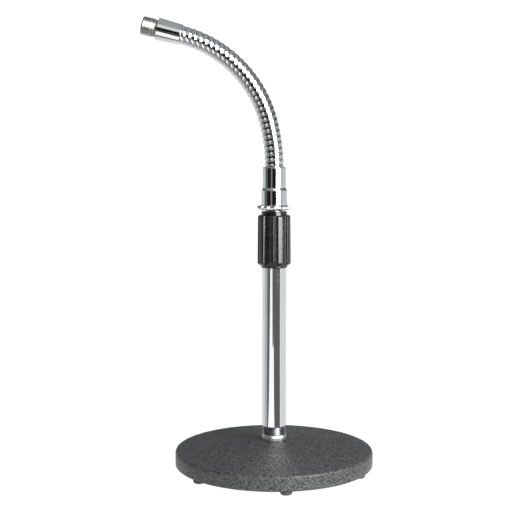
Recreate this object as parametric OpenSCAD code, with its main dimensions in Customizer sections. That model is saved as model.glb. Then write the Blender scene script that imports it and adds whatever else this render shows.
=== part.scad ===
// Desktop gooseneck microphone stand: a heavy round base, a two-tube mast with a
// twist clutch, and a wound steel gooseneck that ends in a 5/8 inch threaded stud.
// Millimetres. The origin is on the mast's axis at the level of the feet, +Z is up,
// and the gooseneck leans over towards -X.

/* [Base] */
// Diameter of the cast base
base_d = 173.2; // [140:0.1:200]
// Height of the base's side wall
rim_h = 13.4; // [10:0.1:20]
// Rise of the sloping top from its edge to the middle
crown_rise = 8; // [4:0.1:12]
// Diameter of a rubber foot where it meets the base
foot_d = 10; // [8:0.5:14]
// Height of a rubber foot
foot_h = 4; // [3:0.5:6]
// Number of rubber feet
foot_count = 6; // [4:1:8]

/* [Mast] */
// Outer diameter of the fixed lower tube
outer_tube_d = 21.1; // [20.8:0.1:21.2]
// Wall of the fixed lower tube
outer_tube_wall = 1.25; // [1.1:0.05:1.3]
// Height of the fixed tube's open top above the table
outer_tube_top = 205; // [195:1:230]
// Outer diameter of the sliding tube, which is also the thread's diameter
thread_d = 15.875; // [15.8:0.005:15.9]
// Wall of the sliding tube
inner_tube_wall = 1.2; // [1:0.05:1.5]
// Travel of the sliding tube
travel = 101.6; // [60:0.1:104]

/* [Clutch] */
// Length of the ribbed part of the grip
rib_length = 41.8; // [36:0.2:46]
// Diameter over the ribs at their lower end
rib_d = 29; // [28:0.1:31]
// Number of ribs round the grip
rib_count = 9; // [7:1:10]

/* [Gooseneck] */
// Diameter over the wound coils
coil_d = 16; // [15:0.1:17]
// Distance from one coil to the next
coil_pitch = 5; // [4.9:0.02:5.3]
// Number of rigid links that the gooseneck is divided into, with half a link at each end
link_count = 15; // [15:1:15]
// Links in the gently bent lower stretch
gentle_links = 4; // [2:1:7]
// Angle turned in the lower stretch
gentle_turn = 15; // [0:1:20]
// Angle turned in the upper stretch
upper_turn = 61; // [0:1:75]

/* [Ferrules and stud] */
// Diameter of the threaded coupling under the gooseneck
coupling_d = 22; // [21:0.1:24]
// Diameter of the lower ferrule
lower_ferrule_d = 19.9; // [19:0.1:20.5]
// Diameter of the upper ferrule at the coils
upper_ferrule_inner_d = 17.4; // [17:0.1:18.5]
// Diameter of the upper ferrule at the stud
upper_ferrule_outer_d = 19.1; // [18.5:0.1:20]
// Length of the upper ferrule
upper_ferrule_h = 20.9; // [18:0.1:24]
// Length of the thread on the stud
tip_thread_h = 10; // [8:0.5:12]

/* [Hidden] */
$fn = 96;
cut = 1;                       // how far a cutter runs past the face that it cuts
running_gap = 0.05;            // radial clearance of a turning or sliding fit
free_gap = 0.3;                // clearance where moving parts only pass each other

// Base
base_r = base_d / 2;
rim_top = foot_h + rim_h;
crown_top = rim_top + crown_rise;
crown_land_r = 13;             // the flat in the middle that the foot ring stands on
rim_round = 2.2;
rim_underside_round = 1;
recess_r = 65;
recess_h = 10;
recess_top = foot_h + recess_h;
stud_r = 6;                    // M12 stud that holds the mast to the base
stud_hole_r = 6.3;
foot_circle_r = 79;
foot_turn = 6.4;                 // angle of the first foot past the -Y direction
foot_bevel = 1;
foot_stem_r = 2;
foot_stem_h = 5;

// Fasteners under the base
washer_r = 12;
washer_h = 1.6;
nut_across_flats = 19;
nut_h = 6.8;
washer_bottom = recess_top - washer_h;
nut_bottom = washer_bottom - nut_h;
stud_below_nut = 0.4;

// Foot of the mast
foot_ring_r = 10.6;
foot_ring_h = 5.3;
foot_ring_top = crown_top + foot_ring_h;
neck_r = 10.05;
neck_h = 7.1;
neck_top = foot_ring_top + neck_h;
plug_spigot_h = 14;
edge_chamfer = 0.5;

// Tubes
outer_r = outer_tube_d / 2;
outer_bore_r = outer_r - outer_tube_wall;
thread_r = thread_d / 2;
inner_r = thread_r;
inner_bore_r = inner_r - inner_tube_wall;
grip_collar_top = 226;
inner_tube_top = grip_collar_top + 0.6;
mast_stud_h = 14.4;
mast_stud_spigot_h = 18;

// Guide bush at the foot of the sliding tube; its top meets the clutch seat at full travel
bush_r = outer_bore_r - 2 * running_gap;
bush_h = 12;
bush_lip_h = 1.2;
bush_lip_bore_r = 6;
bush_top = outer_tube_top - travel - 0.2;
bush_bottom = bush_top - bush_h;
inner_tube_bottom = bush_bottom + bush_lip_h + 0.1;

// Clutch: the grip screws down over the seat and squeezes the collet onto the sliding tube
seat_r = 12;
seat_skirt = 15;
seat_h = 22;
seat_bottom = outer_tube_top - seat_skirt;
seat_top = seat_bottom + seat_h;
collet_foot_r = 8.6;
collet_head_r = 10.6;
collet_cone_bottom = outer_tube_top + 2;
collet_top = seat_top + 4.5;
collet_slot = 1.2;
clutch_washer_h = 1.5;
clutch_washer_top = collet_top + clutch_washer_h;
clutch_washer_r = 11.5;
grip_ceiling = clutch_washer_top + 0.1;
grip_cavity_r = seat_r + running_gap;
grip_cavity_bottom = seat_bottom - 2;
grip_collar_r = 11.05;
grip_collar_h = 3.4;
rib_top = grip_collar_top - grip_collar_h;
rib_bottom = rib_top - rib_length;
rib_r = rib_d / 2;
rib_taper = 0.4;               // the ribs stand this much less proud at their top
rib_edge = 1.2;
groove_r = 1.5;
groove_circle_r = rib_r - 0.1;
groove_turn = 5;               // angle of the first groove past the -Y direction
grip_rim_h = 3.6;
grip_rim_r = 11.5;
grip_rim_lip = 1.4;
grip_bottom = rib_bottom - grip_rim_h;

// Lock ring
ring_gap = 0.3;
ring_h = 3.5;
ring_r = 13;
lobe_count = 12;
lobe_r = 1.9;
lobe_circle_r = 12.9;
coupling_bottom = 231.2;
ring_bottom = coupling_bottom - ring_gap - ring_h;

// Coupling and lower ferrule
coupling_r = coupling_d / 2;
coupling_h = 15;
coupling_top = coupling_bottom + coupling_h;
coupling_thread_h = 12;
coupling_chamfer = 0.95;
coupling_chamfer_h = 2.2;
spigot_r = 7.2;
spigot_h = 6.2;
lower_ferrule_r = lower_ferrule_d / 2;
ferrule_edge = 0.4;

// Gooseneck
coil_r = coil_d / 2;
neck_bottom = 264;
link_length = 2 * coil_pitch;
neck_length = link_count * link_length;
gentle_length = gentle_links * link_length;
neck_bore_r = 4;
core_r = 6.6;
valley_r = 6.9;
shoulder_r = 7.3;
ball_r = 5.3;
socket_r = ball_r + free_gap;
widest_joint_turn = 15;        // the flanks of two links meet past this angle
flank_gap = 0.1;
arc_steps = 6;
tail_r = 7.6;
tail_foot_gap = 0.2;
tail_h = neck_bottom - coupling_top - spigot_h - tail_foot_gap;

// Upper ferrule and stud
neck_groove_r = 7.3;
neck_groove_h = 3.3;
neck_flare_h = 1;
thread_chamfer = 0.9;

// ---- Shared shapes -------------------------------------------------------------

// Points of an arc about a centre, from one angle to another, as radius and height
function arc_points(centre, radius, from, to, steps = arc_steps) =
    [for (i = [0:steps]) let (a = from + (to - from) * i / steps)
        [centre[0] + radius * cos(a), centre[1] + radius * sin(a)]];

// A plain or hollow round bar between two heights
module tube(radius, bore, bottom, top) {
    rotate_extrude() polygon([[bore, bottom], [radius, bottom], [radius, top], [bore, top]]);
}

// The same with a chamfer at each end of its outside
module chamfered_tube(radius, bore, bottom, top, low_chamfer, high_chamfer) {
    rotate_extrude() polygon([
        [bore, bottom], [radius - low_chamfer, bottom], [radius, bottom + low_chamfer],
        [radius, top - high_chamfer], [radius - high_chamfer, top], [bore, top]]);
}

// ---- Gooseneck centreline --------------------------------------------------------
// Two arcs one after the other in the XZ plane, straight up at the lower ferrule.
// "along" is the distance along the centreline from the lower ferrule's mouth.

gentle_radius = gentle_length / (gentle_turn * PI / 180);
upper_radius = (neck_length - gentle_length) / (upper_turn * PI / 180);

// Angle of the centreline from straight up, leaning towards -X
function lean(along) = along < gentle_length
    ? gentle_turn * along / gentle_length
    : gentle_turn + upper_turn * (along - gentle_length) / (neck_length - gentle_length);

// Point on an arc of the given radius that starts at a point with one lean and ends at another
function arc_end(start, radius, lean_from, lean_to) = [
    start[0] - radius * (cos(lean_from) - cos(lean_to)), 0,
    start[2] + radius * (sin(lean_to) - sin(lean_from))];

gentle_end = arc_end([0, 0, neck_bottom], gentle_radius, 0, gentle_turn);

// Point of the centreline
function neck_point(along) = along < gentle_length
    ? arc_end([0, 0, neck_bottom], gentle_radius, 0, lean(along))
    : arc_end(gentle_end, upper_radius, gentle_turn, lean(along));

// Places its children with their origin at a point, leaning towards -X by an angle
module lean_at(point, angle) {
    translate(point) rotate([0, -angle, 0]) children();
}

// Where the joint below a link lies along the centreline
function joint_along(index) = (index - 0.5) * link_length;

// ---- Base ------------------------------------------------------------------------

module base_casting() {
    color([0.22, 0.22, 0.23]) difference() {
        rotate_extrude() polygon(concat(
            [[0, foot_h], [base_r - rim_underside_round, foot_h],
                [base_r, foot_h + rim_underside_round]],
            arc_points([base_r - rim_round, rim_top - rim_round], rim_round, 0, 84),
            [[crown_land_r, crown_top], [0, crown_top]]));
        translate([0, 0, foot_h - cut]) cylinder(r = recess_r, h = recess_h + cut);
        translate([0, 0, foot_h]) cylinder(r = stud_hole_r, h = crown_top);
        at_feet() translate([0, 0, foot_h - cut])
            cylinder(r = foot_stem_r, h = foot_stem_h + cut);
    }
}

module at_feet() {
    for (i = [0:foot_count - 1])
        rotate([0, 0, foot_turn - 90 + i * 360 / foot_count])
            translate([foot_circle_r, 0, 0]) children();
}

module rubber_feet() {
    color([0.3, 0.3, 0.31]) at_feet() rotate_extrude() polygon([
        [0, 0], [foot_d / 2 - foot_bevel, 0], [foot_d / 2, foot_bevel], [foot_d / 2, foot_h],
        [foot_stem_r, foot_h], [foot_stem_r, foot_h + foot_stem_h], [0, foot_h + foot_stem_h]]);
}

module base_washer() {
    color([0.72, 0.72, 0.7]) tube(washer_r, stud_hole_r, washer_bottom, recess_top);
}

module base_nut() {
    color([0.72, 0.72, 0.7]) difference() {
        translate([0, 0, nut_bottom])
            cylinder(d = nut_across_flats / cos(30), h = nut_h, $fn = 6);
        translate([0, 0, nut_bottom - cut]) cylinder(r = stud_r, h = nut_h + 2 * cut);
    }
}

// ---- Mast ------------------------------------------------------------------------

// Stud through the base, the visible neck above the foot ring, and a spigot in the tube
module foot_plug() {
    spigot_top = neck_top + plug_spigot_h;
    color([0.35, 0.36, 0.36]) rotate_extrude() polygon([
        [0, nut_bottom - stud_below_nut], [stud_r, nut_bottom - stud_below_nut],
        [stud_r, foot_ring_top], [neck_r, foot_ring_top], [neck_r, neck_top],
        [outer_bore_r, neck_top], [outer_bore_r, spigot_top], [0, spigot_top]]);
}

module foot_ring() {
    color([0.8, 0.8, 0.79])
        chamfered_tube(foot_ring_r, stud_r, crown_top, foot_ring_top, edge_chamfer, edge_chamfer);
}

module outer_tube() {
    color([0.85, 0.86, 0.87]) tube(outer_r, outer_bore_r, neck_top, outer_tube_top);
}

module inner_tube() {
    color([0.85, 0.86, 0.87]) tube(inner_r, inner_bore_r, inner_tube_bottom, inner_tube_top);
}

// Plug in the top of the sliding tube with the thread for the lock ring and the coupling
module mast_stud() {
    top = inner_tube_top + mast_stud_h;
    color([0.7, 0.7, 0.69]) rotate_extrude() polygon([
        [0, inner_tube_top - mast_stud_spigot_h],
        [inner_bore_r, inner_tube_top - mast_stud_spigot_h],
        [inner_bore_r, inner_tube_top], [thread_r, inner_tube_top],
        [thread_r, top - thread_chamfer], [thread_r - thread_chamfer, top], [0, top]]);
}

module guide_bush() {
    bore_r = inner_r + running_gap;
    color([0.9, 0.89, 0.84]) rotate_extrude() polygon([
        [bush_lip_bore_r, bush_bottom], [bush_r, bush_bottom], [bush_r, bush_top],
        [bore_r, bush_top], [bore_r, bush_bottom + bush_lip_h],
        [bush_lip_bore_r, bush_bottom + bush_lip_h]]);
}

// ---- Clutch ----------------------------------------------------------------------

module clutch_seat() {
    color([0.7, 0.7, 0.69]) rotate_extrude() polygon([
        [outer_r, seat_bottom], [seat_r, seat_bottom], [seat_r, seat_top],
        [collet_head_r, seat_top], [collet_foot_r, collet_cone_bottom],
        [collet_foot_r, outer_tube_top], [outer_r, outer_tube_top]]);
}

// Split tapered ring that is squeezed onto the sliding tube
module clutch_collet() {
    bore_r = inner_r + running_gap;
    color([0.9, 0.89, 0.84]) difference() {
        rotate_extrude() polygon([
            [bore_r, collet_cone_bottom], [collet_foot_r, collet_cone_bottom],
            [collet_head_r, seat_top], [collet_head_r, collet_top], [bore_r, collet_top]]);
        translate([0, -collet_slot / 2, collet_cone_bottom - cut])
            cube([base_r, collet_slot, collet_top - collet_cone_bottom + 2 * cut]);
    }
}

module clutch_washer() {
    color([0.72, 0.72, 0.7])
        tube(clutch_washer_r, inner_r + free_gap, collet_top, clutch_washer_top);
}

module clutch_grip() {
    color([0.1, 0.1, 0.1]) difference() {
        union() {
            intersection() {
                translate([0, 0, grip_bottom])
                    linear_extrude(height = rib_top - grip_bottom) rib_outline();
                rotate_extrude() polygon([
                    [0, grip_bottom], [grip_rim_r, grip_bottom],
                    [grip_rim_r, grip_bottom + grip_rim_lip], [rib_r, rib_bottom],
                    [rib_r - rib_taper, rib_top - rib_edge],
                    [rib_r - rib_taper - rib_edge, rib_top], [0, rib_top]]);
            }
            translate([0, 0, rib_top]) cylinder(r = grip_collar_r, h = grip_collar_h);
        }
        translate([0, 0, grip_bottom - cut]) cylinder(r = outer_r + free_gap, h = rib_length);
        translate([0, 0, grip_cavity_bottom])
            cylinder(r = grip_cavity_r, h = grip_ceiling - grip_cavity_bottom);
        translate([0, 0, grip_ceiling - cut])
            cylinder(r = inner_r + free_gap, h = grip_collar_top - grip_ceiling + 2 * cut);
    }
}

module rib_outline() {
    difference() {
        circle(r = rib_r);
        for (i = [0:rib_count - 1])
            rotate(groove_turn - 90 + i * 360 / rib_count)
                translate([groove_circle_r, 0]) circle(r = groove_r, $fn = 32);
    }
}

// ---- Lock ring, coupling and lower ferrule ------------------------------------------

module lock_ring() {
    color([0.88, 0.88, 0.88]) translate([0, 0, ring_bottom]) linear_extrude(height = ring_h)
        difference() {
            union() {
                circle(r = ring_r);
                for (i = [0:lobe_count - 1])
                    rotate(i * 360 / lobe_count)
                        translate([lobe_circle_r, 0]) circle(r = lobe_r, $fn = 32);
            }
            circle(r = thread_r + running_gap);
        }
}

module lower_coupling() {
    thread_top = coupling_bottom + coupling_thread_h;
    color([0.85, 0.86, 0.87]) rotate_extrude() polygon([
        [thread_r, coupling_bottom], [coupling_r - ferrule_edge, coupling_bottom],
        [coupling_r, coupling_bottom + ferrule_edge],
        [coupling_r, coupling_top - coupling_chamfer_h],
        [coupling_r - coupling_chamfer, coupling_top], [spigot_r, coupling_top],
        [spigot_r, coupling_top + spigot_h], [neck_bore_r, coupling_top + spigot_h],
        [neck_bore_r, thread_top], [thread_r, thread_top]]);
}

module lower_ferrule() {
    socket_bottom = coupling_top + spigot_h;
    color([0.85, 0.86, 0.87]) rotate_extrude() polygon([
        [spigot_r, coupling_top], [lower_ferrule_r, coupling_top],
        [lower_ferrule_r, neck_bottom - ferrule_edge],
        [lower_ferrule_r - ferrule_edge, neck_bottom], [tail_r, neck_bottom],
        [tail_r, socket_bottom], [spigot_r, socket_bottom]]);
}

// ---- Gooseneck links ----------------------------------------------------------------
// A link is two coils on a short hollow core. It turns on the ball below it, which sits
// in the socket of the link before. Its own origin is half way between its two joints.

joint_offset = link_length / 2;
flank_slope = tan(widest_joint_turn / 2);

// How far from the middle of the link its end may reach at a radius
function flank(radius) = joint_offset - radius * flank_slope - flank_gap;

// Height of a sphere's surface above its centre at a radius
function sphere_height(sphere, radius) = sqrt(sphere * sphere - radius * radius);

// The upper coil: from the valley in the link's middle, over the crown, to the end flank
function coil_outline() = concat(
    [[valley_r, 0], [valley_r, coil_pitch / 2 - flank_width()]],
    coil_crown(),
    [[core_r, flank(core_r)]]);

function flank_width() = flank(shoulder_r) - coil_pitch / 2;

// The coil's round outside, as wide as the flanks leave it at the shoulder
function coil_crown() = [for (i = [0:arc_steps]) let (t = i / arc_steps * 180)
    [shoulder_r + (coil_r - shoulder_r) * sin(t), coil_pitch / 2 - flank_width() * cos(t)]];

// Ball below a link, from its outside down to the bore
function ball_outline() =
    let (top = asin((joint_offset - flank(core_r)) / ball_r),
        bottom = -acos(neck_bore_r / ball_r))
    arc_points([0, -joint_offset], ball_r, top, bottom);

// Socket above a link, from the end face down to the bore
function socket_outline() =
    let (top = -asin((joint_offset - flank(core_r)) / socket_r),
        bottom = -acos(neck_bore_r / socket_r))
    arc_points([0, joint_offset], socket_r, top, bottom);

function mirrored(points) = [for (i = [len(points) - 1:-1:0]) [points[i][0], -points[i][1]]];

module gooseneck_link(index) {
    below = neck_point(joint_along(index));
    above = neck_point(joint_along(index + 1));
    color(link_colour()) lean_at((below + above) / 2, chord_lean(below, above))
        rotate_extrude() polygon(concat(
            mirrored(coil_outline()), coil_outline(), socket_outline(), ball_outline_up()));
}

function ball_outline_up() = let (ball = ball_outline())
    [for (i = [len(ball) - 1:-1:0]) ball[i]];

function chord_lean(below, above) = atan2(below[0] - above[0], above[2] - below[2]);

function link_colour() = [0.8, 0.81, 0.82];

// The half link below the first joint, upright, with its tail in the lower ferrule
module gooseneck_root() {
    color(link_colour()) translate(neck_point(0)) rotate_extrude() polygon(concat(
        [[neck_bore_r, -tail_h], [tail_r, -tail_h], [tail_r, 0]],
        coil_outline(), socket_outline()));
}

// The half link above the last joint, with its tail in the upper ferrule
module gooseneck_tip() {
    color(link_colour()) lean_at(neck_point(neck_length), lean(neck_length)) rotate_extrude()
        polygon(concat(
            mirrored(coil_outline()),
            [[tail_r, 0], [tail_r, tail_h], [neck_bore_r, tail_h]], ball_outline_up()));
}

// ---- Upper ferrule and stud ------------------------------------------------------------

module upper_ferrule() {
    inner_end_r = upper_ferrule_inner_d / 2;
    outer_end_r = upper_ferrule_outer_d / 2;
    socket_top = tail_h + tail_foot_gap;
    color([0.85, 0.86, 0.87]) lean_at(neck_point(neck_length), lean(neck_length))
        rotate_extrude() polygon([
            [tail_r, 0], [inner_end_r, 0], [outer_end_r, upper_ferrule_h - ferrule_edge],
            [outer_end_r - ferrule_edge, upper_ferrule_h], [spigot_r, upper_ferrule_h],
            [spigot_r, socket_top], [tail_r, socket_top]]);
}

module tip_stud() {
    groove_top = upper_ferrule_h + neck_groove_h;
    top = groove_top + tip_thread_h;
    color([0.6, 0.6, 0.58]) lean_at(neck_point(neck_length), lean(neck_length))
        rotate_extrude() polygon([
            [0, tail_h + tail_foot_gap], [spigot_r, tail_h + tail_foot_gap],
            [spigot_r, upper_ferrule_h], [neck_groove_r, upper_ferrule_h],
            [neck_groove_r, groove_top - neck_flare_h], [thread_r, groove_top],
            [thread_r, top - thread_chamfer], [thread_r - thread_chamfer, top], [0, top]]);
}

// ---- Nodes -------------------------------------------------------------------------

base_casting();
rubber_feet();
base_washer();
base_nut();
foot_plug();
foot_ring();
outer_tube();
clutch_seat();
clutch_collet();
clutch_washer();
clutch_grip();
guide_bush();
inner_tube();
mast_stud();
lock_ring();
lower_coupling();
lower_ferrule();
gooseneck_root();  // gooseneck_link_00
gooseneck_link(1);  // gooseneck_link_01
gooseneck_link(2);  // gooseneck_link_02
gooseneck_link(3);  // gooseneck_link_03
gooseneck_link(4);  // gooseneck_link_04
gooseneck_link(5);  // gooseneck_link_05
gooseneck_link(6);  // gooseneck_link_06
gooseneck_link(7);  // gooseneck_link_07
gooseneck_link(8);  // gooseneck_link_08
gooseneck_link(9);  // gooseneck_link_09
gooseneck_link(10);  // gooseneck_link_10
gooseneck_link(11);  // gooseneck_link_11
gooseneck_link(12);  // gooseneck_link_12
gooseneck_link(13);  // gooseneck_link_13
gooseneck_link(14);  // gooseneck_link_14
gooseneck_tip();  // gooseneck_link_15
upper_ferrule();
tip_stud();
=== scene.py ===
import math

import bmesh
import bpy
import numpy as np
from mathutils import Matrix, Vector, noise


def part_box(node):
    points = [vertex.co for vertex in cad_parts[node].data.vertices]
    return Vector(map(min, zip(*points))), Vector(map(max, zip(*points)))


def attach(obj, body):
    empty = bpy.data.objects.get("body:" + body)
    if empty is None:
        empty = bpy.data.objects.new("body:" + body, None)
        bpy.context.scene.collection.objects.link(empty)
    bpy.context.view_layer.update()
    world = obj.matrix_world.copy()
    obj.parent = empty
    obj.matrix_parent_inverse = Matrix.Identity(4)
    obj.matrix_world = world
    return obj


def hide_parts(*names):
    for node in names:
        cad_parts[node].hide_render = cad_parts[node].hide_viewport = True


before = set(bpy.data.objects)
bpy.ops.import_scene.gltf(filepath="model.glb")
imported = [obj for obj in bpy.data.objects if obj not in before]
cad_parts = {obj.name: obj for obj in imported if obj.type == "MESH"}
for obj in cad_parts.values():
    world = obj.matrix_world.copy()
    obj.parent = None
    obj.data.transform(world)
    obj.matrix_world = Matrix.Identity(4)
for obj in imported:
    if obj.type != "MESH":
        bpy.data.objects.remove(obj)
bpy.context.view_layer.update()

MM = 0.001
TAU = 2 * math.pi


# ---- Camera -------------------------------------------------------------------------

def make_camera():
    data = bpy.data.cameras.new("camera")
    data.lens = 81.34
    data.shift_y = -0.04
    data.clip_end = 100
    camera = bpy.data.objects.new("camera", data)
    bpy.context.collection.objects.link(camera)
    camera.location = (-0.0158, -1.0, 0.285)
    camera.rotation_euler = (math.radians(90 - 4.58), 0, 0)
    bpy.context.scene.camera = camera


make_camera()


# ---- Sizes from the frame -------------------------------------------------------------

def top(node):
    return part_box(node)[1].z


def bottom(node):
    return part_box(node)[0].z


def radius(node):
    low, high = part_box(node)
    return (high.y - low.y) / 2


BASE_R = radius("base_casting")
BASE_BOTTOM = bottom("base_casting")
CROWN_TOP = top("base_casting")
RIM_TOP = BASE_BOTTOM + 13.4 * MM
LAND_R = 13 * MM                    # flat land round the mast on top of the base
THREAD_R = 15.875 / 2 * MM          # 5/8 in microphone thread
THREAD_PITCH = 25.4 / 27 * MM
TUBE_WALL = 1.25 * MM
INNER_TUBE_WALL = 1.2 * MM
FERRULE_BORE_R = 7 * MM
FERRULE_MOUTH_R = 8.1 * MM
RIB_FOOT = 3.6 * MM                 # plain collar below the grip's ribs
RIB_HEAD = 3.4 * MM                 # and above them


# ---- Materials ------------------------------------------------------------------------

class Shader:
    """A Principled material and the few node shapes that every finish here is made of."""

    def __init__(self, name, color, metallic=0.0, roughness=0.5):
        self.material = bpy.data.materials.new(name)
        self.material.use_nodes = True
        self.nodes = self.material.node_tree.nodes
        self.links = self.material.node_tree.links
        self.surface = self.nodes["Principled BSDF"]
        self.surface.inputs["Base Color"].default_value = (*color, 1)
        self.surface.inputs["Metallic"].default_value = metallic
        self.surface.inputs["Roughness"].default_value = roughness
        self.place = self.nodes.new("ShaderNodeTexCoord").outputs["Object"]

    def stretched(self, x, y, z):
        """Object coordinates scaled along each axis."""
        mapping = self.nodes.new("ShaderNodeMapping")
        mapping.inputs["Scale"].default_value = (x, y, z)
        self.links.new(self.place, mapping.inputs["Vector"])
        return mapping.outputs["Vector"]

    def noise(self, scale, detail=2.0, rough=0.5, vector=None):
        node = self.nodes.new("ShaderNodeTexNoise")
        node.inputs["Scale"].default_value = scale
        node.inputs["Detail"].default_value = detail
        node.inputs["Roughness"].default_value = rough
        self.links.new(vector or self.place, node.inputs["Vector"])
        return node.outputs["Fac"]

    def cells(self, scale, smooth=0.6, vector=None):
        node = self.nodes.new("ShaderNodeTexVoronoi")
        node.feature = "SMOOTH_F1"
        node.inputs["Scale"].default_value = scale
        node.inputs["Smoothness"].default_value = smooth
        self.links.new(vector or self.place, node.inputs["Vector"])
        return node.outputs["Distance"]

    def ramp(self, value, low, high, out_low, out_high):
        node = self.nodes.new("ShaderNodeMapRange")
        node.inputs["From Min"].default_value = low
        node.inputs["From Max"].default_value = high
        node.inputs["To Min"].default_value = out_low
        node.inputs["To Max"].default_value = out_high
        self.links.new(value, node.inputs["Value"])
        return node.outputs["Result"]

    def between(self, value, first, second):
        node = self.nodes.new("ShaderNodeMix")
        node.data_type = "RGBA"
        node.inputs["A"].default_value = (*first, 1)
        node.inputs["B"].default_value = (*second, 1)
        self.links.new(value, node.inputs["Factor"])
        return node.outputs["Result"]

    def add(self, first, second, weight=1.0):
        node = self.nodes.new("ShaderNodeMath")
        node.operation = "MULTIPLY_ADD"
        node.inputs[1].default_value = weight
        self.links.new(second, node.inputs[0])
        self.links.new(first, node.inputs[2])
        return node.outputs["Value"]

    def set(self, socket, value):
        self.links.new(value, self.surface.inputs[socket])

    def bump(self, height, depth, strength=1.0):
        """Relief of a height from 0 to 1 that stands for this depth."""
        node = self.nodes.new("ShaderNodeBump")
        node.inputs["Strength"].default_value = strength
        node.inputs["Distance"].default_value = depth
        self.links.new(height, node.inputs["Height"])
        self.links.new(node.outputs["Normal"], self.surface.inputs["Normal"])


def chrome(name, color=(0.86, 0.87, 0.88), low=0.025, high=0.085):
    """Mirror plating with faint smears and hairline marks."""
    s = Shader(name, color, metallic=1.0)
    smear = s.noise(55, detail=4, rough=0.6)
    hairs = s.noise(900, detail=1, vector=s.stretched(1, 1, 0.08))
    s.set("Roughness", s.ramp(s.add(smear, hairs, 0.25), 0.5, 0.85, low, high))
    s.set("Base Color", s.between(s.ramp(smear, 0.35, 0.7, 0, 1), color,
                                  tuple(0.94 * c for c in color)))
    s.bump(s.noise(420, detail=2), 0.4e-6)
    return s.material


def turned_metal(name, dark, light, low, high, groove=0.0):
    """Machined metal: fine turning marks round the axis, with dull patches."""
    s = Shader(name, light, metallic=1.0)
    patches = s.noise(140, detail=5, rough=0.65)
    turning = s.noise(9000, detail=2, vector=s.stretched(0.02, 0.02, 1))
    s.set("Base Color", s.between(s.ramp(patches, 0.35, 0.68, 0, 1), dark, light))
    s.set("Roughness", s.ramp(s.add(patches, turning, 0.4), 0.45, 0.95, low, high))
    s.bump(s.add(turning, patches, 0.3), 4e-6 + groove)
    return s.material


def textured_enamel():
    """Black wrinkle enamel: pebbles whose crests are painted lighter as a highlight and whose
    hollows are painted darker as shade, with a random tone gathered in faint clusters.
    """
    s = Shader("textured_enamel", (0.03, 0.03, 0.032))
    pebbles = s.cells(540, smooth=0.5)
    grains = s.noise(1500, detail=3, rough=0.6)
    clusters = s.noise(230, detail=2, rough=0.7)
    drift = s.noise(45, detail=3)
    # painted light and shade: crest makes the colour lighter on the pebbles' raised tops and
    # darker in the hollows between them, following the relief; the clusters add a random tone
    crest = s.ramp(s.add(s.add(grains, pebbles, -0.7), clusters, 0.5), 0.15, 0.8, 0, 1)
    s.set("Base Color", s.between(crest, (0.006, 0.006, 0.007), (0.105, 0.107, 0.108)))
    s.set("Roughness", s.ramp(s.add(grains, drift, 0.5), 0.45, 1.05, 0.28, 0.55))
    s.bump(s.add(grains, pebbles, -1.4), 0.26 * MM)
    s.surface.inputs["Specular IOR Level"].default_value = 0.6
    return s.material


def grip_plastic():
    """Black grip moulding with a fine pebble and a half gloss."""
    s = Shader("grip_plastic", (0.012, 0.012, 0.013))
    pebble = s.noise(1500, detail=2, rough=0.55)
    wear = s.noise(160, detail=4)
    s.set("Base Color", s.between(s.ramp(wear, 0.4, 0.75, 0, 1),
                                  (0.004, 0.004, 0.0045), (0.012, 0.012, 0.013)))
    s.set("Roughness", s.ramp(s.add(pebble, wear, 0.4), 0.5, 0.95, 0.13, 0.26))
    s.bump(pebble, 0.07 * MM)
    s.surface.inputs["Specular IOR Level"].default_value = 0.7
    return s.material


def foot_rubber():
    s = Shader("foot_rubber", (0.05, 0.05, 0.052))
    dust = s.noise(420, detail=5, rough=0.7)
    s.set("Base Color", s.between(s.ramp(dust, 0.4, 0.7, 0, 1),
                                  (0.03, 0.03, 0.031), (0.10, 0.10, 0.105)))
    s.set("Roughness", s.ramp(dust, 0.3, 0.7, 0.55, 0.85))
    s.bump(s.noise(3000, detail=2), 0.03 * MM)
    return s.material


def nylon():
    s = Shader("nylon", (0.7, 0.68, 0.6))
    grain = s.noise(700, detail=3)
    s.set("Base Color", s.between(grain, (0.74, 0.72, 0.65), (0.62, 0.6, 0.52)))
    s.set("Roughness", s.ramp(grain, 0.3, 0.7, 0.35, 0.5))
    s.bump(grain, 0.01 * MM)
    s.surface.inputs["Subsurface Weight"].default_value = 0.1
    return s.material


CHROME = chrome("mirror_chrome")
COIL_CHROME = chrome("coil_chrome", color=(0.80, 0.81, 0.82), low=0.04, high=0.12)
ENAMEL = textured_enamel()
GRIP = grip_plastic()
RUBBER = foot_rubber()
NYLON = nylon()
DULL_STEEL = turned_metal("dull_steel", (0.20, 0.20, 0.19), (0.42, 0.42, 0.40), 0.3, 0.5)
NECK_STEEL = turned_metal("neck_steel", (0.16, 0.17, 0.18), (0.34, 0.35, 0.36), 0.22, 0.4)
TIP_STEEL = turned_metal("tip_steel", (0.36, 0.36, 0.35), (0.46, 0.46, 0.45), 0.3, 0.4)
RING_NICKEL = turned_metal("ring_nickel", (0.50, 0.50, 0.49), (0.72, 0.72, 0.70), 0.26, 0.4)
ZINC = turned_metal("zinc_plate", (0.48, 0.48, 0.46), (0.66, 0.66, 0.63), 0.25, 0.45)


# ---- Mesh tools -------------------------------------------------------------------------

def finished(name, mesh, material, body, stands_for=()):
    """Links a mesh as a piece that rides on a body."""
    mesh.materials.append(material)
    piece = bpy.data.objects.new(name, mesh)
    bpy.context.collection.objects.link(piece)
    if body:
        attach(piece, body)
    if stands_for:
        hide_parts(*stands_for)
    return piece


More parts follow.
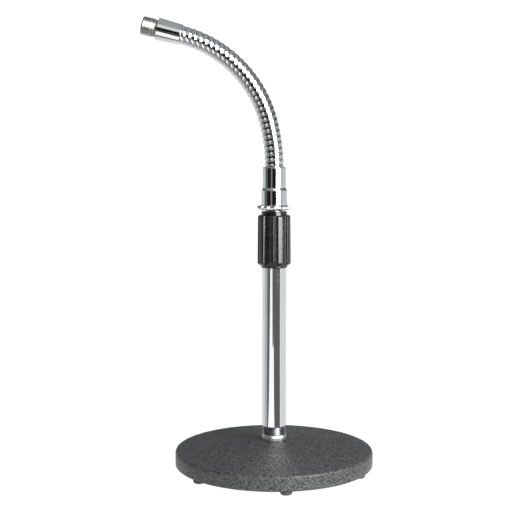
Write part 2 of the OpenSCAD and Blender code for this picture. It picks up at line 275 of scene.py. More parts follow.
def filleted(corners, closed, steps=5):
    """Splits an outline of (radius, height, fillet) corners into runs of (point, normal).
    A straight stretch is a run of two, and a fillet is a run of steps + 1. The outside is on
    the right of the direction of travel."""
    count = len(corners)
    points = [Vector((c[0], c[1])) for c in corners]
    trims = []
    for i, corner in enumerate(corners):
        ends = not closed and i in (0, count - 1)
        fillet = 0 if ends or len(corner) < 3 else corner[2]
        before = (points[i] - points[i - 1]).normalized()
        after = (points[(i + 1) % count] - points[i]).normalized()
        turn = 0 if ends else before.angle_signed(after)
        trims.append((fillet * math.tan(abs(turn) / 2), before, after, turn, fillet))
    runs = []
    for i in range(count if closed else count - 1):
        nxt = (i + 1) % count
        along = (points[nxt] - points[i]).normalized()
        side = Vector((along.y, -along.x))
        runs.append([(points[i] + along * trims[i][0], side),
                     (points[nxt] - along * trims[nxt][0], side)])
        trim, before, after, turn, fillet = trims[nxt]
        if trim > 0:
            runs.append(fillet_run(points[nxt], before, trim, turn, fillet, steps))
    return runs


def fillet_run(corner, before, trim, turn, fillet, steps):
    """The arc that rounds one corner of an outline."""
    start = corner - before * trim
    run = []
    for k in range(steps + 1):
        swept = abs(turn) * k / steps
        # angle_signed is clockwise positive, so a left turn has a negative angle
        left = 1 if turn < 0 else -1
        ahead = before * math.sin(swept) * fillet
        across = Vector((-before.y, before.x)) * left * (1 - math.cos(swept)) * fillet
        tangent = Matrix.Rotation(left * swept, 2) @ before
        run.append((start + ahead + across, Vector((tangent.y, -tangent.x))))
    return run


def turned_mesh(name, corners, closed=True, segments=160, steps=5):
    """A turned part: the outline swept round the Z axis, with exact normals on each stretch."""
    verts, faces, normals = [], [], []
    angles = [TAU * k / segments for k in range(segments)]

    def ring_of(point):
        if point.x < 1e-9:
            verts.append((0, 0, point.y))
            return [len(verts) - 1] * segments
        start = len(verts)
        verts.extend((point.x * math.cos(a), point.x * math.sin(a), point.y) for a in angles)
        return list(range(start, start + segments))

    for run in filleted(corners, closed, steps):
        rings = [(ring_of(point), side) for point, side in run]
        for (low, low_side), (high, high_side) in zip(rings, rings[1:]):
            for k in range(segments):
                nxt = (k + 1) % segments
                corner_list = [(low[k], low_side, k), (low[nxt], low_side, nxt),
                               (high[nxt], high_side, nxt), (high[k], high_side, k)]
                unique = []
                for item in corner_list:
                    if item[0] not in [u[0] for u in unique]:
                        unique.append(item)
                if len(unique) < 3:
                    continue
                faces.append([u[0] for u in unique])
                normals.extend((u[1].x * math.cos(angles[u[2]]),
                                u[1].x * math.sin(angles[u[2]]), u[1].y) for u in unique)
    mesh = bpy.data.meshes.new(name)
    mesh.from_pydata(verts, [], faces)
    mesh.shade_smooth()
    mesh.normals_split_custom_set(normals)
    return mesh


def welded(mesh, distance=1e-7):
    work = bmesh.new()
    work.from_mesh(mesh)
    bmesh.ops.remove_doubles(work, verts=work.verts, dist=distance)
    bmesh.ops.dissolve_degenerate(work, edges=work.edges, dist=distance)
    bmesh.ops.recalc_face_normals(work, faces=work.faces)
    work.to_mesh(mesh)
    work.free()


def grid_mesh(name, rows, closed_rows=False, sharp=None):
    """A mesh over a grid of points, each row closed round on itself."""
    height, width = len(rows), len(rows[0])
    verts = [point for row in rows for point in row]
    faces = []
    for j in range(height if closed_rows else height - 1):
        for k in range(width):
            nxt = (k + 1) % width
            up = (j + 1) % height
            faces.append((j * width + k, j * width + nxt, up * width + nxt, up * width + k))
    mesh = bpy.data.meshes.new(name)
    mesh.from_pydata(verts, [], faces)
    mesh.shade_smooth()
    if sharp:
        mesh.set_sharp_from_angle(angle=math.radians(sharp))
    return mesh


def smooth_step(value, low, high):
    t = min(1.0, max(0.0, (value - low) / (high - low)))
    return t * t * (3 - 2 * t)


# ---- Base ----------------------------------------------------------------------------

def base_outline(spacing):
    """Points of the casting's outside, from the middle of its top down to its underside."""
    round_r, under_r = 2.4 * MM, 1.1 * MM
    slope = math.atan2(CROWN_TOP - RIM_TOP, BASE_R - round_r - LAND_R)
    shoulder = Vector((BASE_R - round_r + round_r * math.sin(slope), 0))
    shoulder.y = RIM_TOP - round_r + round_r * math.cos(slope)
    points = []
    land = int(LAND_R / spacing)
    points += [Vector((LAND_R * (0.35 + 0.65 * k / land), CROWN_TOP)) for k in range(land)]
    cone = int((shoulder.x - LAND_R) / spacing)
    start = Vector((LAND_R, CROWN_TOP))
    points += [start.lerp(shoulder, k / cone) for k in range(cone)]
    arc = 6
    for k in range(arc):
        a = math.pi / 2 - slope - (math.pi / 2 - slope) * k / arc
        points.append(Vector((BASE_R - round_r + round_r * math.cos(a),
                              RIM_TOP - round_r + round_r * math.sin(a))))
    wall_top, wall_bottom = RIM_TOP - round_r, BASE_BOTTOM + under_r
    wall = int((wall_top - wall_bottom) / spacing)
    points += [Vector((BASE_R, wall_top + (wall_bottom - wall_top) * k / wall))
               for k in range(wall)]
    for k in range(arc + 1):
        a = -math.pi / 2 * k / arc
        points.append(Vector((BASE_R - under_r + under_r * math.cos(a),
                              BASE_BOTTOM + under_r + under_r * math.sin(a))))
    return points


def make_base():
    """The casting's skin, with real lumps in its enamel."""
    outline = base_outline(0.64 * MM)
    around = 840
    relief = 0.12 * MM
    pebbles_per_m, swells_per_m = 640, 150
    rows = []
    for i, point in enumerate(outline):
        before, after = outline[max(0, i - 1)], outline[min(len(outline) - 1, i + 1)]
        along = (after - before).normalized()
        side = Vector((-along.y, along.x))
        row = []
        for k in range(around):
            a = TAU * k / around
            c, s = math.cos(a), math.sin(a)
            at = Vector((point.x * c, point.x * s, point.y))
            lump = noise.noise(at * pebbles_per_m) + 0.4 * noise.noise(at * swells_per_m) - 1.2
            lump *= relief
            row.append((at.x + side.x * c * lump, at.y + side.x * s * lump,
                        at.z + side.y * lump))
        rows.append(row)
    mesh = grid_mesh("base_skin", rows)
    finished("base_skin", mesh, ENAMEL, "stand", ["base_casting"])


def make_base_underside():
    """The casting's hollow, from the stud's hole out to the rim."""
    recess_r, recess_top = 65 * MM, BASE_BOTTOM + 10 * MM
    hole_r, hole_top = 6.3 * MM, CROWN_TOP - 0.4 * MM
    under = turned_mesh("base_underside", [
        (4 * MM, hole_top), (hole_r, hole_top), (hole_r, recess_top),
        (recess_r, recess_top, 1.5 * MM), (recess_r, BASE_BOTTOM, 1 * MM),
        (BASE_R - 1.0 * MM, BASE_BOTTOM)], closed=False, segments=220)
    under.flip_normals()
    finished("base_underside", under, ENAMEL, "stand")


def make_feet():
    """Six moulded rubber buttons with a bevelled foot and a dimple underneath."""
    count, circle_r, first = 6, 79 * MM, math.radians(6.4 - 90)
    foot_r, foot_top = 5 * MM, BASE_BOTTOM - 0.02 * MM
    for i in range(count):
        a = first + TAU * i / count
        mesh = turned_mesh("rubber_foot_%d" % (i + 1), [
            (0, 0.7 * MM), (2.2 * MM, 0.7 * MM, 0.4 * MM), (2.8 * MM, 0, 0.3 * MM),
            (foot_r - 1.0 * MM, 0, 0.5 * MM), (foot_r, 1.1 * MM, 0.5 * MM),
            (foot_r, foot_top), (0, foot_top)],
            closed=False, segments=48, steps=3)
        mesh.transform(Matrix.Translation((circle_r * math.cos(a), circle_r * math.sin(a), 0)))
        stands_for = ["rubber_feet"] if i == 0 else ()
        finished("rubber_foot_%d" % (i + 1), mesh, RUBBER, "stand", stands_for)


# ---- Mast ----------------------------------------------------------------------------

def threaded_mesh(name, z0, z1, crest_r, depth, pitch, chamfer=(0.0, 0.0), segments=72):
    """A helical V thread between two heights, with a chamfer's height at each end. Its crest
    and its root each have a small flat."""
    per_pitch, flat = 6, 0.125
    turns = int((z1 - z0) / pitch) + 3
    rows = []
    for j in range(-per_pitch, turns * per_pitch):
        row = []
        for k in range(segments):
            a = TAU * k / segments
            z = min(z1, max(z0, z0 + pitch * (j / per_pitch + k / segments)))
            phase = ((z - z0) / pitch - k / segments) % 1
            v = abs(2 * phase - 1)
            r = crest_r - depth * min(1, max(0, v * (1 + 2 * flat) - flat))
            r = min(r, crest_r - max(0, chamfer[0] - (z - z0)))
            r = min(r, crest_r - max(0, chamfer[1] - (z1 - z)))
            row.append((r * math.cos(a), r * math.sin(a), z))
        rows.append(row)
    # each row climbs one pitch as it goes round, so it joins the row a pitch above
    verts = [p for row in rows for p in row]
    faces = []
    for j in range(len(rows) - 1):
        for k in range(segments):
            if k < segments - 1:
                quad = (j * segments + k, j * segments + k + 1,
                        (j + 1) * segments + k + 1, (j + 1) * segments + k)
            else:
                if j + 1 + per_pitch >= len(rows):
                    continue
                quad = (j * segments + k, (j + per_pitch) * segments,
                        (j + 1 + per_pitch) * segments, (j + 1) * segments + k)
            faces.append(quad)
    mesh = bpy.data.meshes.new(name)
    mesh.from_pydata(verts, [], faces)
    welded(mesh, 2e-6)
    mesh.shade_smooth()
    mesh.set_sharp_from_angle(angle=math.radians(35))
    return mesh


def make_foot_ring():
    """The nickel ring on the base, with a shallow upright knurl and rounded edges."""
    low, high = bottom("foot_ring"), top("foot_ring")
    ring_r, inside_r = radius("foot_ring"), 8 * MM
    teeth, steps, levels = 48, 10, 12
    edge, knurl = 0.6 * MM, 0.15 * MM
    middle, half = (low + high) / 2 - 0.5 * MM, (high - low) / 2
    rows = [[(inside_r, low)] * (teeth * steps)]
    for j in range(levels + 1):
        z = low + (high - low) * (1 - math.cos(math.pi * j / levels)) / 2
        off = abs(z - middle) / half
        inset = edge * off ** 4
        rows.append([(ring_r - inset - knurl * (0.5 - 0.5 * math.cos(TAU * k / steps)), z)
                     for k in range(teeth * steps)])
    rows.append([(inside_r, high)] * (teeth * steps))
    points = [[(r * math.cos(TAU * k / len(row)), r * math.sin(TAU * k / len(row)), z)
               for k, (r, z) in enumerate(row)] for row in rows]
    mesh = grid_mesh("foot_ring_knurl", points, sharp=45)
    finished("foot_ring_knurl", mesh, RING_NICKEL, "stand", ["foot_ring"])


def make_foot_plug():
    """The neck above the ring, the spigot in the tube and the stud through the base."""
    neck_r, stud_r = radius("foot_plug"), 6 * MM
    bore_r = radius("outer_tube") - TUBE_WALL
    neck_bottom, tube_bottom = top("foot_ring"), bottom("outer_tube")
    stud_bottom, spigot_top = bottom("foot_plug"), top("foot_plug")
    neck = threaded_mesh("mast_neck_thread", neck_bottom, tube_bottom, neck_r, 0.28 * MM,
                         THREAD_PITCH, chamfer=(0.5 * MM, 0.5 * MM), segments=96)
    finished("mast_neck_thread", neck, NECK_STEEL, "stand")
    spigot = turned_mesh("mast_spigot", [
        (neck_r - 0.6 * MM, tube_bottom), (bore_r, tube_bottom),
        (bore_r, spigot_top, 0.5 * MM), (0, spigot_top)],
        closed=False, segments=96)
    finished("mast_spigot", spigot, DULL_STEEL, "stand")
    stud_pitch, stud_chamfer = 1.25 * MM, 0.8 * MM
    stud = threaded_mesh("base_stud_thread", stud_bottom, neck_bottom, stud_r, 0.5 * MM,
                         stud_pitch, chamfer=(stud_chamfer, 0.0))
    finished("base_stud_thread", stud, DULL_STEEL, "stand", ["foot_plug"])
    end = turned_mesh("base_stud_end", [
        (0, stud_bottom), (stud_r - stud_chamfer, stud_bottom)], closed=False, segments=72)
    finished("base_stud_end", end, DULL_STEEL, "stand")


def make_tubes():
    """Both chromed tubes, and the thread in the top of the sliding one."""
    tube_r = radius("outer_tube")
    low, high = bottom("outer_tube"), top("outer_tube")
    mesh = turned_mesh("outer_tube_chrome", [
        (tube_r - TUBE_WALL, low, 0.2 * MM), (tube_r, low, 0.45 * MM), (tube_r, high, 0.3 * MM),
        (tube_r - TUBE_WALL, high, 0.3 * MM)], segments=256)
    finished("outer_tube_chrome", mesh, CHROME, "stand", ["outer_tube"])

    tube_r, bore_r = radius("inner_tube"), radius("inner_tube") - INNER_TUBE_WALL
    low, high = bottom("inner_tube"), top("inner_tube")
    mesh = turned_mesh("inner_tube_chrome", [
        (bore_r, low, 0.2 * MM), (tube_r, low, 0.3 * MM), (tube_r, high, 0.3 * MM),
        (bore_r, high, 0.2 * MM)], segments=256)
    finished("inner_tube_chrome", mesh, CHROME, "mast", ["inner_tube"])

    low = top("inner_tube")
    thread = threaded_mesh("mast_stud_thread", low, top("mast_stud"), THREAD_R, 0.5 * MM,
                           THREAD_PITCH, chamfer=(0.2 * MM, 0.8 * MM))
    finished("mast_stud_thread", thread, DULL_STEEL, "mast", ["mast_stud"])


# ---- Clutch --------------------------------------------------------------------------

def grip_radius(angle, z, low, high, rib_r):
    """The grip's outside: nine broad ribs with round grooves, tapering towards the top."""
    ribs, groove_at, groove_half = 9, math.radians(5 - 90), math.radians(6.2)
    pitch = TAU / ribs
    off = abs((angle - groove_at + pitch / 2) % pitch - pitch / 2)
    rib_low, rib_high = low + RIB_FOOT, high - RIB_HEAD
    taper = 0.4 * MM * (z - rib_low) / (rib_high - rib_low)
    crown = 0.14 * MM * ((off - pitch / 2) / (pitch / 2)) ** 2
    rib = rib_r - taper - crown
    groove = rib_r - 1.75 * MM - taper * 0.5
    shape = smooth_step(off, groove_half * 0.55, groove_half * 1.35)
    return groove + (rib - groove) * shape


def make_grip():
    """The grip: collar, ribs with rounded upper ends, and the upper collar over the mouth."""
    low, high = bottom("clutch_grip"), top("clutch_grip")
    rib_r = radius("clutch_grip")
    collar_r, rim_r = 11.05 * MM, 11.5 * MM
    rib_low, rib_high = low + RIB_FOOT, high - RIB_HEAD
    around = 9 * 44
    # each row is (height, limit on the radius): the limits round off the ribs' ends
    stack = [(low, 10.9 * MM), (low, rim_r - 0.5 * MM),
             (low + 0.15 * MM, rim_r - 0.15 * MM), (low + 0.5 * MM, rim_r),
             (low + 1.3 * MM, rim_r + 0.02 * MM)]
    for k in range(7):
        t = k / 6
        stack.append((low + 1.4 * MM + (rib_low - low - 1.4 * MM) * t,
                      rim_r + (rib_r - rim_r) * (math.sin(t * math.pi / 2) * 0.25 + t * 0.75)))
    for k in range(1, 30):
        stack.append((rib_low + (rib_high - 1.6 * MM - rib_low) * k / 29, rib_r))
    for k in range(1, 9):
        a = math.pi / 2 * k / 8
        stack.append((rib_high - 1.6 * MM + 1.6 * MM * math.sin(a),
                      rib_r - 0.4 * MM - 1.5 * MM * (1 - math.cos(a))))
    stack += [(rib_high, collar_r + 0.35 * MM), (rib_high + 0.12 * MM, collar_r + 0.08 * MM),
              (rib_high + 0.5 * MM, collar_r)]
    stack += [(high - 0.6 * MM, collar_r), (high - 0.25 * MM, collar_r - 0.1 * MM),
              (high - 0.05 * MM, collar_r - 0.35 * MM), (high, collar_r - 0.7 * MM),
              (high, 8.6 * MM), (high - 0.3 * MM, 8.3 * MM), (high - 2 * MM, 8.25 * MM)]
    rows = []
    for z, limit in stack:
        row = []
        for k in range(around):
            a = TAU * k / around
            r = min(limit, grip_radius(a, z, low, high, rib_r))
            row.append((r * math.cos(a), r * math.sin(a), z))
        rows.append(row)
    mesh = grid_mesh("clutch_grip_ribbed", rows, sharp=50)
    finished("clutch_grip_ribbed", mesh, GRIP, "clutch", ["clutch_grip"])


# ---- Lock ring, coupling and ferrules ---------------------------------------------------

def make_lock_ring():
    """A chrome ring with twelve round lobes, bull-nosed all round."""
    low, high = bottom("lock_ring"), top("lock_ring")
    lobes, lobe_r, circle_r, ring_r = 12, 1.9 * MM, 12.9 * MM, 12.3 * MM
    middle, half = (low + high) / 2, (high - low) / 2
    around = lobes * 36

    def edge(angle):
        pitch = TAU / lobes
        off = (angle + pitch / 2) % pitch - pitch / 2
        across = circle_r * math.sin(off)
        reach = ring_r
        if abs(across) < lobe_r:
            reach = max(reach, circle_r * math.cos(off) + math.sqrt(lobe_r ** 2 - across ** 2))
        return reach

    bore, nose_steps, depth = THREAD_R + 0.15 * MM, 12, 1.5 * MM
    rows = [[(bore, low + 0.3 * MM)] * around, [(bore + 0.4 * MM, low)] * around]
    for k in range(nose_steps + 1):
        t = -math.pi / 2 + math.pi * k / nose_steps
        rows.append([(edge(TAU * i / around) - depth * (1 - math.cos(t)),
                      middle + half * math.sin(t)) for i in range(around)])
    rows.append([(bore + 0.4 * MM, high)] * around)
    rows.append([(bore, high - 0.3 * MM)] * around)
    points = [[(r * math.cos(TAU * i / around), r * math.sin(TAU * i / around), z)
               for i, (r, z) in enumerate(row)] for row in rows]
    mesh = grid_mesh("lock_ring_chrome", points, closed_rows=True, sharp=50)
    finished("lock_ring_chrome", mesh, CHROME, "lock_ring", ["lock_ring"])


def make_coupling():
    """The coupling with its chamfered shoulder, and the ferrule that holds the gooseneck."""
    low, high = bottom("lower_coupling"), bottom("lower_ferrule")
    r, bore_r, bore_top = radius("lower_coupling"), THREAD_R + 0.1 * MM, high - 3 * MM
    mesh = turned_mesh("lower_coupling_chrome", [
        (bore_r, low, 0.2 * MM), (r, low, 0.5 * MM),
        (r, high - 2.2 * MM, 0.5 * MM), (r - 0.95 * MM, high, 0.1 * MM),
        (FERRULE_BORE_R, high), (FERRULE_BORE_R, bore_top), (bore_r, bore_top)],
        segments=256)
    finished("lower_coupling_chrome", mesh, CHROME, "mast", ["lower_coupling"])

    low, high = bottom("lower_ferrule") + 0.05 * MM, top("lower_ferrule")
    r, mouth_depth = radius("lower_ferrule"), 6 * MM
    mesh = turned_mesh("lower_ferrule_chrome", [
        (FERRULE_BORE_R, low), (r, low, 0.2 * MM), (r, high, 0.8 * MM),
        (FERRULE_MOUTH_R, high, 0.35 * MM), (FERRULE_MOUTH_R, high - mouth_depth),
        (FERRULE_BORE_R, high - mouth_depth)], segments=256)
    finished("lower_ferrule_chrome", mesh, CHROME, "mast", ["lower_ferrule"])


# ---- Gooseneck -------------------------------------------------------------------------

COIL_PITCH = 5 * MM
LINKS = 15
LINK = 2 * COIL_PITCH
NECK_LENGTH = LINKS * LINK
GENTLE_LENGTH = 4 * LINK
GENTLE_TURN = math.radians(15)
UPPER_TURN = math.radians(61)
NECK_BOTTOM = top("lower_ferrule")


def lean(along):
    """Angle of the centreline from straight up, at a distance from the lower ferrule."""
    along = np.clip(along, 0, NECK_LENGTH)
    upper = GENTLE_TURN + UPPER_TURN * (along - GENTLE_LENGTH) / (NECK_LENGTH - GENTLE_LENGTH)
    return np.where(along < GENTLE_LENGTH, GENTLE_TURN * along / GENTLE_LENGTH, upper)


def neck_point(along):
    """X and Z of the centreline: two arcs, and straight on past both ends."""
    gentle_r = GENTLE_LENGTH / GENTLE_TURN
    upper_r = (NECK_LENGTH - GENTLE_LENGTH) / UPPER_TURN
    angle = lean(along)
    low = np.minimum(angle, GENTLE_TURN)
    high = np.maximum(angle, GENTLE_TURN)
    x = -gentle_r * (1 - np.cos(low)) - upper_r * (math.cos(GENTLE_TURN) - np.cos(high))
    z = NECK_BOTTOM + gentle_r * np.sin(low) + upper_r * (np.sin(high) - math.sin(GENTLE_TURN))
    past = along - np.clip(along, 0, NECK_LENGTH)
    return x - past * np.sin(angle), z + past * np.cos(angle)


def coil_point(turn, radial, offset):
    """A point of a wire: how many turns along, how far out, and how far along from its middle."""
    along = COIL_PITCH * turn + offset
    x, z = neck_point(along)
    angle = lean(along)
    a = TAU * turn
    return np.stack([x + radial * np.cos(a) * np.cos(angle), radial * np.sin(a),
                     z + radial * np.cos(a) * np.sin(angle)], axis=-1)


def wire_profile_wedge():
    """The wide outer wire: a crowned face and two flanks that run in to a root."""
    half, crest, shoulder, root = 1.86 * MM, 8.0 * MM, 7.88 * MM, 6.2 * MM
    edge = 0.32 * MM
    bend_r = ((half - edge) ** 2 + (crest - shoulder) ** 2) / (2 * (crest - shoulder))
    reach = math.asin((half - edge) / bend_r)
    points = []
    for k in range(9):
        a = -reach + 2 * reach * k / 8
        points.append((crest - bend_r * (1 - math.cos(a)), bend_r * math.sin(a)))
    points += [(shoulder - 0.12 * MM, half - 0.09 * MM), (shoulder - 0.4 * MM, half),
               (root, 0.9 * MM), (root, -0.9 * MM),
               (shoulder - 0.4 * MM, -half), (shoulder - 0.12 * MM, 0.09 * MM - half)]
    return points


def wire_profile_round():
    """The thin round wire that lies in the groove between two turns of the wide one."""
    wire_r, middle = 0.78 * MM, 6.85 * MM
    return [(middle + wire_r * math.cos(TAU * k / 12), COIL_PITCH / 2 +
             wire_r * math.sin(TAU * k / 12)) for k in range(12)]


def wire_mesh(name, profiles, first_turn, last_turn, steps=56):
    """Wires wound along the neck's curve, with exact normals, and flat caps at their ends.
    Each profile comes with how many turns it lags behind."""
    verts, faces, normals = [], [], []
    count = int(round((last_turn - first_turn) * steps)) + 1
    for profile, lag in profiles:
        turns = np.linspace(first_turn - lag, last_turn - lag, count)
        shape = np.array(profile)
        sides = len(shape)
        t, r = np.meshgrid(turns, shape[:, 0], indexing="ij")
        d = np.broadcast_to(shape[:, 1], t.shape)
        at = coil_point(t, r, d)
        ahead = coil_point(t + 1e-4, r, d) - coil_point(t - 1e-4, r, d)
        across = np.roll(at, -1, axis=1) - np.roll(at, 1, axis=1)
        side = np.cross(ahead, across)
        side /= np.linalg.norm(side, axis=-1, keepdims=True)
        start = len(verts)
        verts += [tuple(p) for p in at.reshape(-1, 3)]
        normals += [tuple(n) for n in side.reshape(-1, 3)]
        for i in range(len(turns) - 1):
            for j in range(sides):
                nxt = (j + 1) % sides
                faces.append((start + i * sides + j, start + (i + 1) * sides + j,
                              start + (i + 1) * sides + nxt, start + i * sides + nxt))
        for i, way in ((0, 1), (len(turns) - 1, -1)):
            cap = len(verts)
            verts += [tuple(p) for p in at[i]]
            facing = ahead[i].mean(axis=0) * -way
            facing /= np.linalg.norm(facing)
            normals += [tuple(facing)] * sides
            faces.append(tuple(cap + j for j in (range(sides) if way > 0
                                                 else reversed(range(sides)))))
    mesh = bpy.data.meshes.new(name)
    mesh.from_pydata(verts, [], faces)
    mesh.shade_smooth()
    mesh.normals_split_custom_set_from_vertices(normals)
    return mesh


def parting_turn(joint):
    """Where the wires part at a joint: on the joint's own axis, so their ends stay together."""
    sideways = joint % 3 == 2
    return 2 * joint - 1 + (0 if sideways else 0.25)


def core_mesh(index, low_along, high_along):
    """The dull core under the coils of one link, with a ball at each end for its joints."""
    x, z = neck_point(np.array([low_along, high_along]))
    run = Vector((x[1] - x[0], 0, z[1] - z[0]))
    core_r, corner = 5.7 * MM, 5.6 * MM
    mesh = turned_mesh("gooseneck_core_%02d" % index, [
        (0, -core_r), (core_r, -core_r, corner), (core_r, run.length + core_r, corner),
        (0, run.length + core_r)], closed=False, segments=48)
    mesh.transform(Matrix.Translation((x[0], 0, z[0])) @
                   Matrix.Rotation(math.atan2(run.x, run.z), 4, "Y"))
    return mesh


def make_gooseneck():
    """Two turns of both wires and a core for each link. A link's wires part on its joints'
    axes, so a bent neck opens and closes between its turns as a real one does."""
    bodies = ["mast"] + ["neck_%02d" % k for k in range(1, LINKS)] + ["neck_tip"]
    profiles = [(wire_profile_wedge(), 0), (wire_profile_round(), 0.5)]
    hidden = 0.75                   # turns of wire inside each ferrule
    for k, body in enumerate(bodies):
        first = parting_turn(k) if k > 0 else -hidden
        last = parting_turn(k + 1) if k < LINKS else 2 * LINKS + hidden
        coils = wire_mesh("gooseneck_coils_%02d" % k, profiles, first, last)
        finished("gooseneck_coils_%02d" % k, coils, COIL_CHROME, body,
                 ["gooseneck_link_%02d" % k])
        low_along = (k - 0.5) * LINK if k > 0 else 0
        high_along = (k + 0.5) * LINK if k < LINKS else NECK_LENGTH
        core = core_mesh(k, low_along, high_along)
        finished("gooseneck_core_%02d" % k, core, DULL_STEEL, body)


def tip_place():
    """The matrix from a part drawn along Z to its place at the neck's upper end."""
    x, z = neck_point(np.array(NECK_LENGTH))
    angle = float(lean(np.array(NECK_LENGTH)))
    return Matrix.Translation((float(x), 0, float(z))) @ Matrix.Rotation(-angle, 4, "Y")


def make_tip():
    """The upper ferrule, and the dull stud with its thread, on the neck's own axis."""
    place = tip_place()
    length, inner_r, outer_r = 20.9 * MM, 8.7 * MM, 9.55 * MM
    bore_r, mouth_depth, belly_r = 7.2 * MM, 6 * MM, 30 * MM
    mesh = turned_mesh("upper_ferrule_chrome", [
        (bore_r, mouth_depth), (FERRULE_MOUTH_R, mouth_depth), (FERRULE_MOUTH_R, 0, 0.3 * MM),
        (inner_r, 0, 0.3 * MM), (inner_r + (outer_r - inner_r) * 0.55, length * 0.5, belly_r),
        (outer_r, length, 0.35 * MM), (bore_r, length)], segments=256, steps=8)
    mesh.transform(place)
    finished("upper_ferrule_chrome", mesh, CHROME, "neck_tip", ["upper_ferrule"])

    groove_r, groove_h, thread_h, inside_r = 7.3 * MM, 3.3 * MM, 10 * MM, 6 * MM
    collar_r = groove_r + 0.5 * MM
    z0 = length + groove_h
    z1 = z0 + thread_h
    neck = turned_mesh("tip_stud_neck", [
        (inside_r, length - 1 * MM), (collar_r, length - 1 * MM),
        (collar_r, length + 0.5 * MM, 0.2 * MM), (groove_r, length + 0.9 * MM, 0.3 * MM),
        (groove_r, z0 - 1 * MM, 0.4 * MM), (THREAD_R - 0.1 * MM, z0), (inside_r, z0)],
        closed=False, segments=128)
    neck.transform(place)
    finished("tip_stud_neck", neck, DULL_STEEL, "neck_tip", ["tip_stud"])

    thread = threaded_mesh("tip_stud_thread", z0, z1, THREAD_R, 0.2 * MM, THREAD_PITCH,
                           chamfer=(0.35 * MM, 0.9 * MM), segments=96)
    thread.transform(place)
    finished("tip_stud_thread", thread, TIP_STEEL, "neck_tip")

    face = turned_mesh("tip_stud_face", [
        (THREAD_R - 0.9 * MM, z1, 0), (1.6 * MM, z1, 0.1 * MM), (0.5 * MM, z1 - 1.3 * MM),
        (0, z1 - 1.3 * MM)], closed=False, segments=96)
    face.transform(place)
    finished("tip_stud_face", face, DULL_STEEL, "neck_tip")


# ---- Pieces that stay as the frame has them ---------------------------------------------

def dress_frame():
    """Materials on the inner pieces, which keep the frame's own shapes."""
    for node, material in (("base_washer", ZINC), ("base_nut", ZINC),
                           ("clutch_seat", DULL_STEEL), ("clutch_collet", NYLON),
                           ("clutch_washer", ZINC), ("guide_bush", NYLON)):
        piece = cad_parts[node]
        piece.data.materials.clear()
        piece.data.materials.append(material)


# ---- Room and light ----------------------------------------------------------------------

def glow_material(name, level, tint=(1, 1, 1)):
    """Light given off evenly, with no shading."""
    material = bpy.data.materials.new(name)
    material.use_nodes = True
    nodes = material.node_tree.nodes
    nodes.remove(nodes["Principled BSDF"])
    light = nodes.new("ShaderNodeEmission")
    light.inputs["Color"].default_value = (*tint, 1)
    light.inputs["Strength"].default_value = level
    output = next(n for n in nodes if n.type == "OUTPUT_MATERIAL")
    material.node_tree.links.new(light.outputs["Emission"], output.inputs["Surface"])
    return material


def staged(name, mesh, material):
    mesh.materials.append(material)
    piece = bpy.data.objects.new(name, mesh)
    bpy.context.collection.objects.link(piece)
    return piece


def make_floor():
    """White paper that glows almost as bright as white, so shadows on it stay faint."""
    size = 12
    mesh = bpy.data.meshes.new("floor")
    mesh.from_pydata([(-size, -size, 0), (size, -size, 0), (size, size, 0), (-size, size, 0)],
                     [], [(0, 1, 2, 3)])
    s = Shader("floor_paper", (0.12, 0.12, 0.12), roughness=1.0)
    s.surface.inputs["Specular IOR Level"].default_value = 0.0
    s.surface.inputs["Emission Color"].default_value = (1, 1, 1, 1)
    s.surface.inputs["Emission Strength"].default_value = 0.98
    staged("floor", mesh, s.material)


def make_backdrop():
    """A white dome that only the camera sees."""
    dome = bmesh.new()
    bmesh.ops.create_uvsphere(dome, u_segments=48, v_segments=24, radius=11)
    mesh = bpy.data.meshes.new("backdrop")
    dome.to_mesh(mesh)
    dome.free()
    backdrop = staged("backdrop", mesh, glow_material("backdrop_white", 1.05))
    backdrop.visible_glossy = False
    backdrop.visible_diffuse = False
    backdrop.visible_transmission = False
    backdrop.visible_shadow = False


def make_world():
    """A dim grey studio that is a little lighter overhead."""
    world = bpy.data.worlds.new("studio")
    bpy.context.scene.world = world
    world.use_nodes = True
    nodes, links = world.node_tree.nodes, world.node_tree.links
    place = nodes.new("ShaderNodeTexCoord")
    split = nodes.new("ShaderNodeSeparateXYZ")
    links.new(place.outputs["Generated"], split.inputs["Vector"])
    ramp = nodes.new("ShaderNodeMapRange")
    ramp.inputs["From Min"].default_value = 0.3
    ramp.inputs["From Max"].default_value = 0.9
    ramp.inputs["To Min"].default_value = 0.10
    ramp.inputs["To Max"].default_value = 0.38
    links.new(split.outputs["Z"], ramp.inputs["Value"])
    links.new(ramp.outputs["Result"], nodes["Background"].inputs["Strength"])
    nodes["Background"].inputs["Color"].default_value = (0.95, 1, 1, 1)


def card(name, material, points):
    """A card that only reflections see."""
    mesh = bpy.data.meshes.new(name)
    mesh.from_pydata(points, [], [tuple(range(len(points)))])
    piece = staged(name, mesh, material)
    piece.visible_camera = False
    piece.visible_diffuse = False
    piece.visible_shadow = False


def polar(azimuth, distance, z):
    """A point at an azimuth from the camera's side, positive to the right."""
    a = math.radians(azimuth)
    return (distance * math.sin(a), -distance * math.cos(a), z)


def upright_card(name, material, left, right, low, high, distance):
    """A curved standing card between two azimuths."""
    steps = max(1, int(abs(right - left) / 6))
    for i in range(steps):
        a = left + (right - left) * i / steps
        b = left + (right - left) * (i + 1) / steps
        card("%s_%02d" % (name, i), material, [
            polar(a, distance, low), polar(b, distance, low),
            polar(b, distance, high), polar(a, distance, high)])


def floor_card(name, material, near, near_span, far, far_span, lift=1 * MM):
    """A flat card on the floor: it starts at one distance with one span of azimuths, and
    ends farther out with another."""
    steps = 12
    corners = []
    for distance, (left, right) in ((near, near_span), (far, far_span[::-1])):
        corners += [polar(left + (right - left) * i / steps, distance, lift)
                    for i in range(steps + 1)]
    card(name, material, corners)


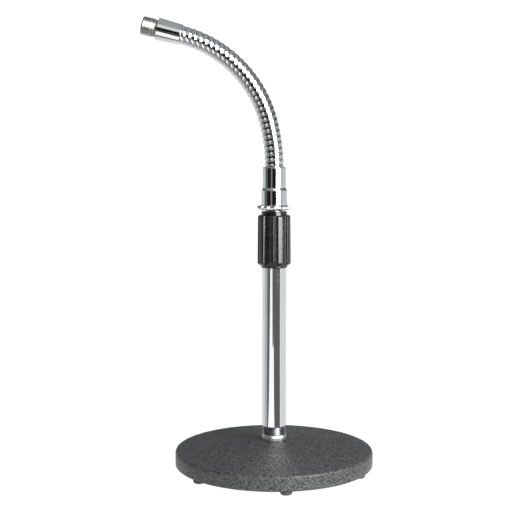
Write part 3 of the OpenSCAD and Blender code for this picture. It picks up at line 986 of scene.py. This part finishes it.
def softbox(name, azimuth, distance, width, low, high, radiance):
    """A standing rectangular light that faces the stand, as bright as given in chrome."""
    place = Vector(polar(azimuth, distance, (low + high) / 2))
    data = bpy.data.lights.new(name, "AREA")
    data.shape = "RECTANGLE"
    data.size, data.size_y = width, high - low
    data.energy = radiance * math.pi * width * (high - low)
    light = bpy.data.objects.new(name, data)
    bpy.context.collection.objects.link(light)
    light.location = place
    level_aim = Vector((0, 0, place.z)) - place
    light.rotation_euler = level_aim.to_track_quat("-Z", "Y").to_euler()
    light.visible_camera = False


def overhead_fill(size, height, energy):
    """A soft light from above that the chrome doesn't mirror."""
    data = bpy.data.lights.new("overhead", "AREA")
    data.size = size
    data.energy = energy
    light = bpy.data.objects.new("overhead", data)
    bpy.context.collection.objects.link(light)
    light.location = (0.1, 0.1, height)
    light.visible_glossy = False
    light.visible_camera = False


def make_light():
    """A big softbox on the right, a fill from above, and the cards and kit that the chrome
    mirrors."""
    black = glow_material("card_black", 0.012, (0.9, 1.0, 0.98))
    shade = glow_material("card_shade", 0.045, (1.0, 0.97, 0.9))
    dark = glow_material("card_dark", 0.125, (1.0, 0.99, 0.93))
    green = glow_material("card_green", 0.12, (0.85, 1.05, 0.95))
    grey = glow_material("card_grey", 0.5, (0.97, 1.0, 1.03))
    haze = glow_material("card_haze", 0.6, (1.0, 1.0, 1.0))
    pale = glow_material("card_pale", 0.76, (1.0, 1.0, 1.0))
    copper = glow_material("kit_copper", 0.26, (1.0, 0.72, 0.6))
    floor_end, wall_at = 1.72, 1.76
    floor_card("floor_dark_near", dark, 0.105, (8, 57), 0.62, (-4, 57))
    floor_card("floor_dark_far", dark, 0.62, (-4, 57), floor_end, (-9, 57))
    floor_card("floor_shade", shade, 0.62, (-16, -5), floor_end, (-17, -9), lift=1.4 * MM)
    floor_card("floor_left_near", dark, 0.105, (-70, -66), 0.6, (-70, -45))
    floor_card("floor_left_far", dark, 0.6, (-70, -45), floor_end, (-68, -38))
    floor_card("floor_grey_left", grey, 0.105, (-100, -70), floor_end, (-100, -68))
    floor_card("floor_pale_left", pale, 0.105, (-160, -100), floor_end, (-160, -100))
    floor_card("floor_pale_right", pale, 0.105, (60, 160), floor_end, (60, 160))
    upright_card("wall_black", black, -70, 18, 0.0, 0.8, wall_at)
    upright_card("wall_green", green, -100, -68, 0.0, 0.74, wall_at - 0.01)
    upright_card("wall_copper", copper, -35, -20, 0.02, 0.36, wall_at - 0.01)
    upright_card("wall_edge", green, 59, 68, 0.0, 0.72, wall_at)
    upright_card("wall_pale_left", haze, -165, -100, 0.0, 0.6, wall_at)
    upright_card("wall_pale_right", haze, 68, 165, 0.0, 0.6, wall_at)
    upright_card("card_over_camera", pale, -14, 20, 0.74, 1.7, 1.2)
    softbox("key", 38.5, 1.2, 0.84, 0.06, 1.45, 11.0)
    overhead_fill(size=1.6, height=1.6, energy=9)


make_base()
make_base_underside()
make_feet()
make_foot_ring()
make_foot_plug()
make_tubes()
make_grip()
make_lock_ring()
make_coupling()
make_gooseneck()
make_tip()
dress_frame()
make_floor()
make_backdrop()
make_world()
make_light()
bpy.context.scene.view_settings.view_transform = "Standard"
